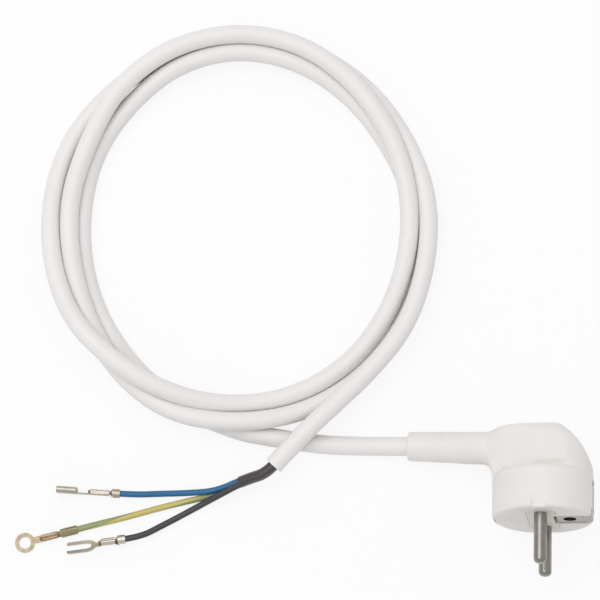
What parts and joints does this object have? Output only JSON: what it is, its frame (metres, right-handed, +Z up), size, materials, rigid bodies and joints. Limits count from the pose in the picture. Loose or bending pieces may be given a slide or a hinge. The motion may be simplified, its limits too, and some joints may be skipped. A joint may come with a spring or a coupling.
{
  "type": "mains power cord",
  "caption": "White mains cord lying in a coil: right-angle earthed plug with round pins and a smooth sleeve, and a stripped end whose cores carry ring, fork and push-on terminals.",
  "frame": {"origin": "bottom centre of the box round the whole cord as it lies, on the table", "axes": "+Z up from the table; +X from the terminals towards the plug; +Y from the plug towards the far side of the coil"},
  "size_m": [0.2182, 0.2148, 0.0401],
  "materials": {
    "white_pvc": "smooth satin moulded PVC",
    "ivory_plastic": "hard moulded, satin",
    "plated_pin": "bright nickel plate",
    "plated_strip": "nickel-plated strip",
    "dark_insulation": "satin PVC",
    "dark_sleeve": "satin heat-shrunk polyolefin",
    "blue_insulation": "satin PVC",
    "green_yellow_insulation": "satin PVC, striped",
    "copper_strands": "bare drawn copper",
    "bare_brass": "dull stamped brass",
    "tinned_brass": "matt tin plate"
  },
  "bodies": {
    "root": {"plug_housing": "white_pvc", "cord_in_plug": "white_pvc", "cord_plug_tail": "white_pvc", "cord_coil": "white_pvc", "cord_free_tail": "white_pvc", "pin_bridge": "ivory_plastic", "line_pin": "plated_pin", "neutral_pin": "plated_pin", "earth_strap": "plated_strip", "earth_socket": "plated_strip", "line_core": "dark_insulation", "line_core_in_plug": "dark_insulation", "core_sleeve": "dark_sleeve", "neutral_core": "blue_insulation", "neutral_core_in_plug": "blue_insulation", "earth_core": "green_yellow_insulation", "earth_core_in_plug": "green_yellow_insulation", "line_strands": "copper_strands", "neutral_strands": "copper_strands", "earth_strands": "copper_strands", "ring_terminal": "bare_brass", "fork_terminal": "tinned_brass", "receptacle_terminal": "tinned_brass"}
  },
  "joints": []
}
